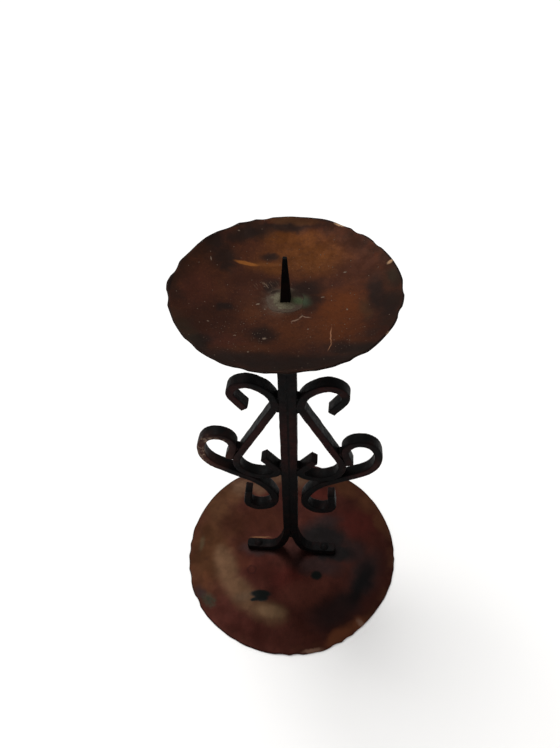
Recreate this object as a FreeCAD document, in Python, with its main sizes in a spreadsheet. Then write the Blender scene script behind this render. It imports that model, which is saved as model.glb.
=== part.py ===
import FreeCAD, Part
import math
import os

import Sketcher
from FreeCAD import Placement, Rotation, Vector

# Pricket candlestick: a domed copper foot dish and a shallow copper drip tray on a wrought-iron stem
# of two flat bars, with an upper and a lower scroll bent from flat bar on each side.
# +X runs along the scrolls, +Z is up, and the origin is the centre of the ring that it stands on.

# ---------------------------------------------------------------- driving dimensions (mm, degrees)

DIMENSIONS = {
    # domed foot dish
    "base_radius": 94.0,
    "base_flat_radius": 44.0,
    "base_rise": 4.5,
    "base_thickness": 1.5,
    "base_rim_land": 3.0,
    # drip tray
    "tray_radius": 65.0,
    "tray_flat_radius": 16.0,
    "tray_rise": 12.7,
    "tray_thickness": 1.2,
    "tray_rim_land": 1.0,
    # stem: two flat bars back to back, bent out into feet
    "stem_bar_width": 8.0,
    "stem_bar_thickness": 6.0,
    "stem_height": 300.3,
    "flare_radius": 70.0,
    "flare_turn": 24.5,
    "foot_bend_radius": 14.0,
    "foot_turn": 65.5,
    "foot_reach": 40.0,
    "foot_corner_radius": 2.5,
    # foot rivets and the roves under the dish
    "rivet_reach": 30.0,
    "rivet_radius": 2.0,
    "rivet_hole_radius": 2.1,
    "rivet_head_radius": 3.8,
    "rivet_head_height": 2.2,
    "rove_radius": 5.0,
    "rove_thickness": 1.0,
    "rivet_tail_radius": 3.2,
    "rivet_tail_height": 1.6,
    # flat bar of the scrolls
    "scroll_bar_width": 9.0,
    "scroll_bar_thickness": 5.5,
    # upper scroll, from the tip of its hook down to its horn
    "hook_tip_reach": 28.57,
    "hook_tip_height": 211.89,
    "hook_contact_height": 216.0,
    "hook_tip_slope": 56.0,
    "hook_tip_run": 13.8,
    "hook_tight_radius": 7.8,
    "hook_tight_turn": 65.0,
    "hook_crown_radius": 11.7,
    "hook_crown_turn": 79.0,
    "hook_back_radius": 22.0,
    "hook_back_turn": 70.0,
    "knee_radius": 6.0,
    "knee_turn": 26.0,
    "diagonal_run": 66.0,
    "elbow_radius": 16.6,
    "elbow_turn": 88.0,
    "bowl_radius": 20.42,
    "bowl_turn": 58.0,
    "nose_radius": 5.2,
    "nose_turn": 97.0,
    "horn_run": 15.5,
    # lower scroll, from the tip inside its loop down to the tip of its curl
    "loop_tip_reach": 45.28,
    "loop_tip_height": 151.14,
    "loop_tip_slope": 108.0,
    "loop_tip_run": 9.5,
    "loop_side_radius": 24.0,
    "loop_side_turn": 15.0,
    "loop_crown_radius": 11.2,
    "loop_crown_turn": 150.0,
    "loop_outer_radius": 24.0,
    "loop_outer_turn": 92.0,
    "lower_run": 27.0,
    "shoulder_radius": 40.0,
    "shoulder_turn": 48.0,
    "curl_side_radius": 14.5,
    "curl_side_turn": 93.0,
    "curl_floor_radius": 10.0,
    "curl_floor_turn": 45.0,
    "curl_tight_radius": 7.5,
    "curl_tight_turn": 60.0,
    "curl_tip_run": 15.5,
    # weld beads, each filling the wedge beside a contact
    "weld_length": 6.8,
    "weld_radius": 1.8,
    "hook_weld_rise": 7.5,
    "hook_weld_drop": 5.0,
    "nose_contact_height": 137.05,
    "nose_weld_offset": 4.3,
    "loop_weld_reach": 37.9,
    "loop_weld_height": 162.4,
    "run_weld_outer_reach": 38.8,
    "run_weld_outer_height": 134.2,
    "run_weld_inner_reach": 27.3,
    "run_weld_inner_height": 127.6,
    "seam_braze_drop": 11.5,
    "seam_braze_radius": 2.2,
    # seat plate on top of the stem
    "seat_radius": 13.0,
    "seat_thickness": 2.5,
    "seat_weld_radius": 1.3,
    "seat_weld_length": 9.0,
    # pricket and the solder round its root
    "tang_radius": 2.5,
    "tang_hole_radius": 2.6,
    "pricket_root_width": 5.8,
    "pricket_tip_width": 2.2,
    "pricket_height": 30.0,
    "solder_radius": 9.2,
    "solder_top_radius": 4.4,
    "solder_height": 1.6,
}

# every side is built on +X, and the left one is turned about Z
SIDES = {"right": 0, "left": 180}
SIGNS = {"right": "1", "left": "-1"}

STEM_TOP = "base_rise + stem_height"
# the height at which the two stem bars begin to part
FORK = (
    "base_rise + stem_bar_thickness / 2 + foot_bend_radius"
    " + ( flare_radius - foot_bend_radius ) * sin( flare_turn )"
)
SEAT_TOP = STEM_TOP + " + seat_thickness"
TRAY_FLOOR = SEAT_TOP + " + tray_thickness"

doc = FreeCAD.newDocument("Candlestick")


# ---------------------------------------------------------------- sheet and binding helpers

def make_sheet():
    """The spreadsheet that drives every size: names in column A, values with aliases in column B."""
    sheet = doc.addObject("Spreadsheet::Sheet", "Dimensions")
    for row, (name, value) in enumerate(DIMENSIONS.items(), start=1):
        sheet.set(f"A{row}", name)
        sheet.set(f"B{row}", str(value))
        sheet.setAlias(f"B{row}", name)
    doc.recompute()
    return sheet


def size(name):
    """The number in the sheet's cell, for a first position that the bound constraints then hold."""
    return float(sheet.get(name))


def cells(formula):
    """A formula of cell names, such as 'base_rise + stem_height', as an expression on the sheet."""
    words = formula.split(" ")
    return " ".join("Dimensions." + word if word in DIMENSIONS else word for word in words)


def bind(thing, prop, formula):
    thing.setExpression(prop, cells(formula))


def limit(sketch, formula, kind, *where):
    """Add a dimensional constraint and bind its value to a formula of cells."""
    index = sketch.addConstraint(Sketcher.Constraint(kind, *where))
    sketch.setExpression(f"Constraints[{index}]", cells(formula))


# ---------------------------------------------------------------- sketch and body helpers

# a sketch's origin point, as a geometry index and a point number
ORIGIN = (-1, 1)


def new_body(label):
    body = doc.addObject("PartDesign::Body", label)
    body.Label = label
    return body


def new_sketch(body, name, role):
    """A sketch on one of the body's own origin planes: XY_Plane, XZ_Plane or YZ_Plane."""
    plane = next(feature for feature in body.Origin.OriginFeatures if feature.Role == role)
    sketch = body.newObject("Sketcher::SketchObject", f"{body.Label}_{name}")
    sketch.AttachmentSupport = [(plane, "")]
    sketch.MapMode = "FlatFace"
    return sketch


def add_line(sketch, start, end):
    return sketch.addGeometry(Part.LineSegment(Vector(*start, 0), Vector(*end, 0)), False)


def add_arc(sketch, centre, radius, first, last):
    """An arc that runs counter-clockwise from angle first to angle last, in radians."""
    circle = Part.Circle(Vector(*centre, 0), Vector(0, 0, 1), radius)
    return sketch.addGeometry(Part.ArcOfCircle(circle, first, last), False)


def add_circle(sketch, centre, formula):
    """A circle with a bound radius, free to be placed by further constraints."""
    circle = sketch.addGeometry(Part.Circle(Vector(*centre, 0), Vector(0, 0, 1), size(formula)), False)
    limit(sketch, formula, "Radius", circle, size(formula))
    return circle


def add_rectangle(sketch, width_formula, height_formula):
    """A rectangle centred on the sketch's origin."""
    half_width = size(width_formula) / 2
    half_height = size(height_formula) / 2
    corners = [(half_width * i, half_height * j) for i, j in ((-1, -1), (1, -1), (1, 1), (-1, 1))]
    sides = [add_line(sketch, corners[i - 1], corners[i]) for i in range(4)]
    for i in range(4):
        sketch.addConstraint(Sketcher.Constraint("Coincident", sides[i - 1], 2, sides[i], 1))
        sketch.addConstraint(Sketcher.Constraint(("Vertical", "Horizontal")[i % 2], sides[i]))
    sketch.addConstraint(Sketcher.Constraint("Symmetric", sides[0], 1, sides[2], 1, *ORIGIN))
    limit(sketch, width_formula, "DistanceX", sides[1], 1, sides[1], 2, 2 * half_width)
    limit(sketch, height_formula, "DistanceY", sides[2], 1, sides[2], 2, 2 * half_height)
    return sides


def revolve(body, sketch):
    """Turn the sketch a full turn about the body's Z axis."""
    axis = next(feature for feature in body.Origin.OriginFeatures if feature.Role == "Z_Axis")
    turned = body.newObject("PartDesign::Revolution", f"{body.Label}_turned")
    turned.Profile = sketch
    turned.ReferenceAxis = (axis, [""])
    turned.Angle = 360
    doc.recompute()
    return turned


def drill(body, radius_formula, reach=None, both_ends=False):
    """Round holes along Z, right through the body: one on the axis, or at this reach along X."""
    before = body.Shape.Volume
    sketch = new_sketch(body, "holes", "XY_Plane")
    if reach is None:
        hole = add_circle(sketch, (0, 0), radius_formula)
        sketch.addConstraint(Sketcher.Constraint("Coincident", hole, 3, *ORIGIN))
    else:
        hole = add_circle(sketch, (size(reach), 0), radius_formula)
        sketch.addConstraint(Sketcher.Constraint("PointOnObject", hole, 3, -1))
        limit(sketch, reach, "DistanceX", *ORIGIN, hole, 3, size(reach))
    if both_ends:
        other = add_circle(sketch, (-size(reach), 0), radius_formula)
        sketch.addConstraint(Sketcher.Constraint("Symmetric", hole, 3, other, 3, *ORIGIN))
    pocket = body.newObject("PartDesign::Pocket", f"{body.Label}_drilled")
    pocket.Profile = sketch
    pocket.Type = "ThroughAll"
    pocket.Midplane = True
    doc.recompute()
    if body.Shape.Volume >= before:
        raise RuntimeError(f"the holes of {body.Label} cut nothing")


def bent_path(sketch, start, heading, steps):
    """Draw a chain of straight runs and tangent bends, and bind every length, radius and turn.

    heading is in degrees from +X. A step is ("run", length) or ("left" or "right", radius, turn),
    named by cells, and a run may have a plain number as its length, which stays free.
    Returns the geometry index of each step and, for each, which of its ends comes last.
    """
    x, z = start
    angle = math.radians(heading)
    chain = []
    for step in steps:
        if step[0] == "run":
            free = not isinstance(step[1], str)
            length = step[1] if free else size(step[1])
            end = (x + length * math.cos(angle), z + length * math.sin(angle))
            piece = add_line(sketch, (x, z), end)
            first, last = 1, 2
            if not free:
                limit(sketch, step[1], "Distance", piece, length)
            x, z = end
        else:
            radius = size(step[1])
            turn = math.radians(size(step[2]))
            hand = 1 if step[0] == "left" else -1
            centre = (x - hand * radius * math.sin(angle), z + hand * radius * math.cos(angle))
            entry = angle - hand * math.pi / 2
            ends = sorted((entry, entry + hand * turn))
            piece = add_arc(sketch, centre, radius, *ends)
            first, last = (1, 2) if hand > 0 else (2, 1)
            limit(sketch, step[1], "Radius", piece, radius)
            limit(sketch, step[2], "Angle", piece, turn)
            angle += hand * turn
            x = centre[0] + hand * radius * math.sin(angle)
            z = centre[1] - hand * radius * math.cos(angle)
        if chain:
            sketch.addConstraint(Sketcher.Constraint("Tangent", *chain[-1], piece, first))
        chain.append((piece, last))
    return chain


def sweep_bar(body, path, width_formula, thickness_formula):
    """Sweep a flat bar section along the path: its thickness in the path's plane, its width across it."""
    section = body.newObject("Sketcher::SketchObject", f"{body.Label}_section")
    section.AttachmentSupport = [(path, "Edge1")]
    section.MapMode = "NormalToEdge"
    section.MapPathParameter = 0
    doc.recompute()
    sizes = [width_formula, thickness_formula]
    first_axis = section.Placement.Rotation.multVec(Vector(1, 0, 0))
    if abs(first_axis.y) < 0.5:
        sizes.reverse()
    add_rectangle(section, *sizes)
    doc.recompute()
    bar = body.newObject("PartDesign::AdditivePipe", f"{body.Label}_bar")
    bar.Profile = section
    bar.Spine = path
    doc.recompute()
    expected = size(width_formula) * size(thickness_formula) * path.Shape.Length
    if abs(bar.Shape.Volume - expected) > expected * 1e-3:
        raise RuntimeError(f"{body.Label}: the swept volume is not its section times its length")
    if abs(bar.Shape.BoundBox.YLength - size(width_formula)) > 1e-6:
        raise RuntimeError(f"{body.Label}: the bar lies on its edge")


# ---------------------------------------------------------------- copper dishes

def dish(part):
    """A copper dish as a shallow dome: a flat middle whose top is at z = 0, then one arc down to its rim.

    part is base or tray, the first word of its cells. The rim ends in a narrow flat land.
    """
    body = new_body(f"{part}_dish")
    sketch = new_sketch(body, "profile", "XZ_Plane")
    r_flat, r_rim = size(f"{part}_flat_radius"), size(f"{part}_radius")
    rise, wall = size(f"{part}_rise"), size(f"{part}_thickness")
    r_land = r_rim - size(f"{part}_rim_land")

    def bow(height, r_end, z_end):
        """The arc that leaves the flat middle level at this height and ends at the given point."""
        radius = ((r_end - r_flat) ** 2 + (height - z_end) ** 2) / (2 * (height - z_end))
        low = math.atan2(z_end - height + radius, r_end - r_flat)
        return add_arc(sketch, (r_flat, height - radius), radius, low, math.pi / 2)

    top = add_line(sketch, (0, 0), (r_flat, 0))
    outer = bow(0, r_rim, wall - rise)
    edge = add_line(sketch, (r_rim, wall - rise), (r_rim, -rise))
    land = add_line(sketch, (r_rim, -rise), (r_land, -rise))
    inner = bow(-wall, r_land, -rise)
    under = add_line(sketch, (r_flat, -wall), (0, -wall))
    axis = add_line(sketch, (0, -wall), (0, 0))

    for kind, *where in (
        ("Coincident", top, 1, *ORIGIN),
        ("Tangent", top, 2, outer, 2),
        ("Coincident", outer, 1, edge, 1),
        ("Coincident", edge, 2, land, 1),
        ("Coincident", land, 2, inner, 1),
        ("Tangent", inner, 2, under, 1),
        ("Coincident", under, 2, axis, 1),
        ("Coincident", axis, 2, top, 1),
        ("Horizontal", top),
        ("Vertical", edge),
        ("Horizontal", land),
        ("Horizontal", under),
        ("Vertical", axis),
    ):
        sketch.addConstraint(Sketcher.Constraint(kind, *where))
    limit(sketch, f"{part}_flat_radius", "DistanceX", top, 1, top, 2, r_flat)
    limit(sketch, f"{part}_flat_radius", "DistanceX", under, 2, under, 1, r_flat)
    limit(sketch, f"{part}_radius", "DistanceX", *ORIGIN, edge, 1, r_rim)
    limit(sketch, f"{part}_rim_land", "DistanceX", land, 2, land, 1, r_rim - r_land)
    limit(sketch, f"{part}_thickness", "DistanceY", axis, 1, axis, 2, wall)
    limit(sketch, f"{part}_thickness", "DistanceY", edge, 2, edge, 1, wall)
    limit(sketch, f"{part}_rise", "DistanceY", land, 1, *ORIGIN, rise)
    revolve(body, sketch)
    return body


def make_base_dish():
    """The domed foot: its flat middle carries the feet, and its rim stands on the ground."""
    body = dish("base")
    drill(body, "rivet_hole_radius", "rivet_reach", both_ends=True)
    bind(body, "Placement.Base.z", "base_rise")
    return body


def make_tray_dish():
    """The drip tray: the same dish the other way up, with one hole for the pricket's tang."""
    body = dish("tray")
    drill(body, "tang_hole_radius")
    body.Placement = Placement(Vector(), Rotation(Vector(1, 0, 0), 180))
    bind(body, "Placement.Base.z", SEAT_TOP)
    return body


# ---------------------------------------------------------------- stem, feet and rivets

def make_stem_bar(side):
    """One flat bar of the stem: straight down from the seat, then out through a slow flare to its foot."""
    body = new_body(f"stem_bar_{side}")
    path = new_sketch(body, "path", "XZ_Plane")
    half = size("stem_bar_thickness") / 2
    top = size("base_rise") + size("stem_height")
    foot_level = size("base_rise") + half
    bend, flare = size("foot_bend_radius"), size("flare_radius")
    turn = math.radians(size("flare_turn"))
    # how far the flare and the bend together come down and go out
    drop = bend + (flare - bend) * math.sin(turn)
    spread = flare - (flare - bend) * math.cos(turn)
    chain = bent_path(path, (half, top), -90, [
        ("run", top - foot_level - drop),
        ("left", "flare_radius", "flare_turn"),
        ("left", "foot_bend_radius", "foot_turn"),
        ("run", size("foot_reach") - half - spread),
    ])
    shaft, foot = chain[0][0], chain[-1][0]
    path.addConstraint(Sketcher.Constraint("Vertical", shaft))
    limit(path, "stem_bar_thickness / 2", "DistanceX", *ORIGIN, shaft, 1, half)
    limit(path, "base_rise + stem_height", "DistanceY", *ORIGIN, shaft, 1, top)
    limit(path, "base_rise + stem_bar_thickness / 2", "DistanceY", *ORIGIN, foot, 2, foot_level)
    limit(path, "foot_reach", "DistanceX", *ORIGIN, foot, 2, size("foot_reach"))
    sweep_bar(body, path, "stem_bar_width", "stem_bar_thickness")
    round_foot(body)
    drill(body, "rivet_hole_radius", "rivet_reach")
    body.Placement = Placement(Vector(), Rotation(Vector(0, 0, 1), SIDES[side]))
    return body


def round_foot(body):
    """Round the two upright corners at the end of the foot."""
    bar = body.Tip
    reach = bar.Shape.BoundBox.XMax
    corners = [
        f"Edge{number}"
        for number, edge in enumerate(bar.Shape.Edges, start=1)
        if all(abs(vertex.X - reach) < 1e-6 for vertex in edge.Vertexes)
        and abs(edge.Vertexes[0].Y - edge.Vertexes[-1].Y) < 1e-6
    ]
    fillet = body.newObject("PartDesign::Fillet", f"{body.Label}_round")
    fillet.Base = (bar, corners)
    bind(fillet, "Radius", "foot_corner_radius")
    doc.recompute()


def make_foot_rivet(side):
    """A rivet through the foot, the dish and the rove: domed head above, a flatter set tail below."""
    body = new_body(f"foot_rivet_{side}")
    sketch = new_sketch(body, "profile", "XZ_Plane")
    seat = size("base_rise") + size("stem_bar_thickness")
    grip = size("base_thickness") + size("rove_thickness")
    set_face = size("base_rise") - grip
    shank = size("rivet_radius")
    head, tail = size("rivet_head_radius"), size("rivet_tail_radius")
    head_top, tail_end = seat + size("rivet_head_height"), set_face - size("rivet_tail_height")

    def button(r_edge, z_edge, z_pole):
        """The arc of a domed end, from its edge to its pole on the axis."""
        height = abs(z_pole - z_edge)
        radius = (r_edge ** 2 + height ** 2) / (2 * height)
        if z_pole > z_edge:
            return add_arc(sketch, (0, z_pole - radius), radius, math.atan2(radius - height, r_edge), math.pi / 2)
        return add_arc(sketch, (0, z_pole + radius), radius, -math.pi / 2, math.atan2(height - radius, r_edge))

    dome = button(head, seat, head_top)
    shoulder = add_line(sketch, (head, seat), (shank, seat))
    side_line = add_line(sketch, (shank, seat), (shank, set_face))
    collar = add_line(sketch, (shank, set_face), (tail, set_face))
    set_end = button(tail, set_face, tail_end)
    axis = add_line(sketch, (0, tail_end), (0, head_top))
    for kind, *where in (
        ("Coincident", dome, 1, shoulder, 1),
        ("Coincident", shoulder, 2, side_line, 1),
        ("Coincident", side_line, 2, collar, 1),
        ("Coincident", collar, 2, set_end, 2),
        ("Coincident", set_end, 1, axis, 1),
        ("Coincident", axis, 2, dome, 2),
        ("PointOnObject", dome, 3, -2),
        ("PointOnObject", set_end, 3, -2),
        ("PointOnObject", axis, 1, -2),
        ("PointOnObject", axis, 2, -2),
        ("Horizontal", shoulder),
        ("Vertical", side_line),
        ("Horizontal", collar),
    ):
        sketch.addConstraint(Sketcher.Constraint(kind, *where))
    limit(sketch, "rivet_radius", "DistanceX", *ORIGIN, side_line, 1, shank)
    limit(sketch, "rivet_head_radius", "DistanceX", *ORIGIN, shoulder, 1, head)
    limit(sketch, "rivet_tail_radius", "DistanceX", *ORIGIN, collar, 2, tail)
    limit(sketch, "base_rise + stem_bar_thickness", "DistanceY", *ORIGIN, side_line, 1, seat)
    limit(sketch, "base_rise - base_thickness - rove_thickness", "DistanceY", *ORIGIN, side_line, 2, set_face)
    limit(sketch, "rivet_head_height", "DistanceY", shoulder, 1, axis, 2, head_top - seat)
    limit(sketch, "rivet_tail_height", "DistanceY", axis, 1, collar, 1, set_face - tail_end)
    revolve(body, sketch)
    bind(body, "Placement.Base.x", f"{SIGNS[side]} * rivet_reach")
    return body


def washer(label, outer_formula, inner_formula, thickness_formula):
    """A flat ring that stands on z = 0."""
    body = new_body(label)
    sketch = new_sketch(body, "rings", "XY_Plane")
    for formula in (outer_formula, inner_formula):
        ring = add_circle(sketch, (0, 0), formula)
        sketch.addConstraint(Sketcher.Constraint("Coincident", ring, 3, *ORIGIN))
    pad = body.newObject("PartDesign::Pad", f"{label}_pad")
    pad.Profile = sketch
    bind(pad, "Length", thickness_formula)
    doc.recompute()
    return body


def make_rivet_rove(side):
    """The small washer under the dish that the rivet's tail is set against."""
    body = washer(f"rivet_rove_{side}", "rove_radius", "rivet_hole_radius", "rove_thickness")
    bind(body, "Placement.Base.x", f"{SIGNS[side]} * rivet_reach")
    bind(body, "Placement.Base.z", "base_rise - base_thickness - rove_thickness")
    return body


# ---------------------------------------------------------------- scrolls

def make_upper_scroll(side):
    """Hook, contact with the stem, diagonal, elbow, bowl, nose against the stem, and horn."""
    body = new_body(f"upper_scroll_{side}")
    path = new_sketch(body, "path", "XZ_Plane")
    start = (size("hook_tip_reach"), size("hook_tip_height"))
    chain = bent_path(path, start, size("hook_tip_slope"), [
        ("run", "hook_tip_run"),
        ("left", "hook_tight_radius", "hook_tight_turn"),
        ("left", "hook_crown_radius", "hook_crown_turn"),
        ("left", "hook_back_radius", "hook_back_turn"),
        ("left", "knee_radius", "knee_turn"),
        ("run", "diagonal_run"),
        ("right", "elbow_radius", "elbow_turn"),
        ("right", "bowl_radius", "bowl_turn"),
        ("right", "nose_radius", "nose_turn"),
        ("run", "horn_run"),
    ])
    contact = chain[3]
    reach = size("stem_bar_thickness") + size("scroll_bar_thickness") / 2
    limit(path, "hook_tip_slope", "Angle", -1, 1, chain[0][0], 1, math.radians(size("hook_tip_slope")))
    limit(path, "stem_bar_thickness + scroll_bar_thickness / 2", "DistanceX", *ORIGIN, *contact, reach)
    limit(path, "hook_contact_height", "DistanceY", *ORIGIN, *contact, size("hook_contact_height"))
    sweep_bar(body, path, "scroll_bar_width", "scroll_bar_thickness")
    body.Placement = Placement(Vector(), Rotation(Vector(0, 0, 1), SIDES[side]))
    return body


def make_lower_scroll(side):
    """Loop against the upper scroll's elbow, straight run under its bowl, and the curl by the stem."""
    body = new_body(f"lower_scroll_{side}")
    path = new_sketch(body, "path", "XZ_Plane")
    start = (size("loop_tip_reach"), size("loop_tip_height"))
    chain = bent_path(path, start, size("loop_tip_slope"), [
        ("run", "loop_tip_run"),
        ("right", "loop_side_radius", "loop_side_turn"),
        ("right", "loop_crown_radius", "loop_crown_turn"),
        ("right", "loop_outer_radius", "loop_outer_turn"),
        ("run", "lower_run"),
        ("left", "shoulder_radius", "shoulder_turn"),
        ("left", "curl_side_radius", "curl_side_turn"),
        ("left", "curl_floor_radius", "curl_floor_turn"),
        ("left", "curl_tight_radius", "curl_tight_turn"),
        ("run", "curl_tip_run"),
    ])
    tip = chain[0][0]
    limit(path, "loop_tip_slope", "Angle", -1, 1, tip, 1, math.radians(size("loop_tip_slope")))
    limit(path, "loop_tip_reach", "DistanceX", *ORIGIN, tip, 1, start[0])
    limit(path, "loop_tip_height", "DistanceY", *ORIGIN, tip, 1, start[1])
    sweep_bar(body, path, "scroll_bar_width", "scroll_bar_thickness")
    body.Placement = Placement(Vector(), Rotation(Vector(0, 0, 1), SIDES[side]))
    return body


# ---------------------------------------------------------------- welds and braze

def bead(label, radius, length, along, place, neighbours):
    """A round bead of filler metal, cut away where the pieces that it joins already are.

    along is the bead's direction, Vector(0, 1, 0) or Vector(1, 0, 0), and place gives formulas for
    the coordinates of its middle.
    """
    rod = doc.addObject("Part::Cylinder", f"{label}_rod")
    bind(rod, "Radius", radius)
    bind(rod, "Height", length)
    rod.Placement = Placement(Vector(), Rotation(Vector(0, 0, 1), along))
    middle = {"x": "0", "y": "0", "z": "0"} | place
    start = {"x": along.x, "y": along.y, "z": along.z}
    for axis, formula in middle.items():
        bind(rod, f"Placement.Base.{axis}", f"{formula} - {start[axis]} * {length} / 2")
    joined = doc.addObject("Part::Compound", f"{label}_joined")
    joined.Links = neighbours
    cut = doc.addObject("Part::Cut", label)
    cut.Base = rod
    cut.Tool = joined
    return cut


def make_welds(label, upper_scrolls, partners, places):
    """Beads of one kind on both sides, as one group, between each upper scroll and its partner."""
    beads = []
    for side in SIDES:
        for number, (reach, height) in enumerate(places, start=1):
            beads.append(bead(
                f"{label}_{side}_{number}", "weld_radius", "weld_length", Vector(0, 1, 0),
                {"x": f"{SIGNS[side]} * {reach}", "z": height},
                [upper_scrolls[side], partners[side]],
            ))
    group = doc.addObject("Part::Compound", label)
    group.Label = label
    group.Links = beads
    return group


def make_seam_braze(stem_bars):
    """The fillet of braze in the fork where the two stem bars part."""
    braze = bead(
        "seam_braze", "seam_braze_radius", "weld_length", Vector(0, 1, 0),
        {"z": f"{FORK} - seam_braze_drop"}, list(stem_bars.values()),
    )
    braze.Label = "seam_braze"
    return braze


def make_seat_welds(seat_plate, stem_bars):
    """Two beads, front and back, in the corner between the stem's top and the seat plate."""
    neighbours = [seat_plate, *stem_bars.values()]
    beads = [
        bead(
            f"seat_welds_{name}", "seat_weld_radius", "seat_weld_length", Vector(1, 0, 0),
            {"y": f"{sign} * stem_bar_width / 2", "z": STEM_TOP}, neighbours,
        )
        for name, sign in (("front", "-1"), ("back", "1"))
    ]
    group = doc.addObject("Part::Compound", "seat_welds")
    group.Label = "seat_welds"
    group.Links = beads
    return group


# ---------------------------------------------------------------- seat, pricket and solder

def make_seat_plate():
    """The round plate on the stem's top that the tray rests on, with the hole for the tang."""
    body = washer("seat_plate", "seat_radius", "tang_hole_radius", "seat_thickness")
    bind(body, "Placement.Base.z", STEM_TOP)
    return body


def make_pricket():
    """A blunt four-sided spike on the tray's floor, with a round tang down to the stem's top."""
    spike = doc.addObject("Part::Wedge", "pricket_spike")
    for level, width in (("", "pricket_root_width"), ("2", "pricket_tip_width")):
        for axis in ("X", "Z"):
            bind(spike, f"{axis}{level}min", f"-1 * {width} / 2")
            bind(spike, f"{axis}{level}max", f"{width} / 2")
    spike.Ymin = 0
    bind(spike, "Ymax", "pricket_height")
    # the wedge narrows along its own Y
    spike.Placement = Placement(Vector(), Rotation(Vector(1, 0, 0), 90))
    bind(spike, "Placement.Base.z", TRAY_FLOOR)
    tang = doc.addObject("Part::Cylinder", "pricket_tang")
    bind(tang, "Radius", "tang_radius")
    bind(tang, "Height", "seat_thickness + tray_thickness")
    bind(tang, "Placement.Base.z", STEM_TOP)
    pricket = doc.addObject("Part::Fuse", "pricket")
    pricket.Label = "pricket"
    pricket.Base = spike
    pricket.Tool = tang
    doc.recompute()
    return pricket


def make_solder_ring(pricket):
    """The low mound of solder round the pricket's root."""
    mound = doc.addObject("Part::Cone", "solder_mound")
    bind(mound, "Radius1", "solder_radius")
    bind(mound, "Radius2", "solder_top_radius")
    bind(mound, "Height", "solder_height")
    bind(mound, "Placement.Base.z", TRAY_FLOOR)
    ring = doc.addObject("Part::Cut", "solder_ring")
    ring.Label = "solder_ring"
    ring.Base = mound
    ring.Tool = pricket
    return ring


# ---------------------------------------------------------------- assembly and export

def build():
    """Make every sub-part and return them in the order in which they would be assembled."""
    stem_bars = {side: make_stem_bar(side) for side in SIDES}
    upper_scrolls = {side: make_upper_scroll(side) for side in SIDES}
    lower_scrolls = {side: make_lower_scroll(side) for side in SIDES}
    seat_plate = make_seat_plate()
    pricket = make_pricket()
    parts = [
        make_base_dish(),
        *stem_bars.values(),
        *[make_foot_rivet(side) for side in SIDES],
        *[make_rivet_rove(side) for side in SIDES],
        *upper_scrolls.values(),
        *lower_scrolls.values(),
        make_seam_braze(stem_bars),
        make_welds("hook_welds", upper_scrolls, stem_bars, [
            ("stem_bar_thickness", "hook_contact_height + hook_weld_rise"),
            ("stem_bar_thickness", "hook_contact_height - hook_weld_drop"),
        ]),
        make_welds("nose_welds", upper_scrolls, stem_bars, [
            ("stem_bar_thickness", "nose_contact_height + nose_weld_offset"),
            ("stem_bar_thickness", "nose_contact_height - nose_weld_offset"),
        ]),
        make_welds("loop_welds", upper_scrolls, lower_scrolls, [
            ("loop_weld_reach", "loop_weld_height"),
        ]),
        make_welds("run_welds", upper_scrolls, lower_scrolls, [
            ("run_weld_outer_reach", "run_weld_outer_height"),
            ("run_weld_inner_reach", "run_weld_inner_height"),
        ]),
        seat_plate,
        make_seat_welds(seat_plate, stem_bars),
        make_tray_dish(),
        pricket,
        make_solder_ring(pricket),
    ]
    doc.recompute()
    return parts


def check(parts):
    """Stop on any object that failed to compute and on any sub-part that is not a sound solid."""
    for thing in doc.Objects:
        if "Invalid" in thing.State or "Error" in thing.State:
            raise RuntimeError(f"{thing.Label} failed: {thing.State}")
    for part in parts:
        if part.Shape.isNull() or not part.Shape.isValid() or not part.Shape.Solids:
            raise RuntimeError(f"{part.Label} has no sound shape")


def export(parts):
    os.makedirs("parts", exist_ok=True)
    for part in parts:
        part.Shape.exportStep(f"parts/{part.Label}.step")
        box = part.Shape.BoundBox
        print(
            f"{part.Label:20s} solids {len(part.Shape.Solids)}  volume {part.Shape.Volume:9.1f}  "
            f"x {box.XMin:7.2f} {box.XMax:7.2f}  y {box.YMin:7.2f} {box.YMax:7.2f}  "
            f"z {box.ZMin:7.2f} {box.ZMax:7.2f}"
        )


sheet = make_sheet()
sub_parts = build()
check(sub_parts)
export(sub_parts)
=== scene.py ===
import math
from collections import namedtuple
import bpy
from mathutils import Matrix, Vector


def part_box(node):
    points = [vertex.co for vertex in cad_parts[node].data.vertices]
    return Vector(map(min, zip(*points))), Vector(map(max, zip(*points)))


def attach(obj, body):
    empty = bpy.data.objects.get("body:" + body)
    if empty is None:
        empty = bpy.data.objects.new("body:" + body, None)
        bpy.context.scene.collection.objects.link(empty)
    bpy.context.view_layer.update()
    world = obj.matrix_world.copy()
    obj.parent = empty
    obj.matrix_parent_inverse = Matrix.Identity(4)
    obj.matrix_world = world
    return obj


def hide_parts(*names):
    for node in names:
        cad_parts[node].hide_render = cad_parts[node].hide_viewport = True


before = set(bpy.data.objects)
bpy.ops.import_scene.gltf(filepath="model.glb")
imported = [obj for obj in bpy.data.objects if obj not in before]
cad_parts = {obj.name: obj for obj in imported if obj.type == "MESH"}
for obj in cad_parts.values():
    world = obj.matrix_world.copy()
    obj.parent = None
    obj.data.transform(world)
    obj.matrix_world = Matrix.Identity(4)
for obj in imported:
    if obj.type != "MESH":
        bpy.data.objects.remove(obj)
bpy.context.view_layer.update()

from types import SimpleNamespace

import bmesh
import bpy
from mathutils import Euler, Matrix, Vector, noise

# Pricket candlestick. The bars keep the lines of their CAD solids and get the eased edges and uneven
# faces of forged iron. The two copper dishes are made again here with hammer marks and a wavy rim.
# Lengths in the shape code are in millimetres in the frame's own axes, and become metres at the end.

MM = 0.001


# ---------------------------------------------------------------- shapes: general helpers

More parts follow.
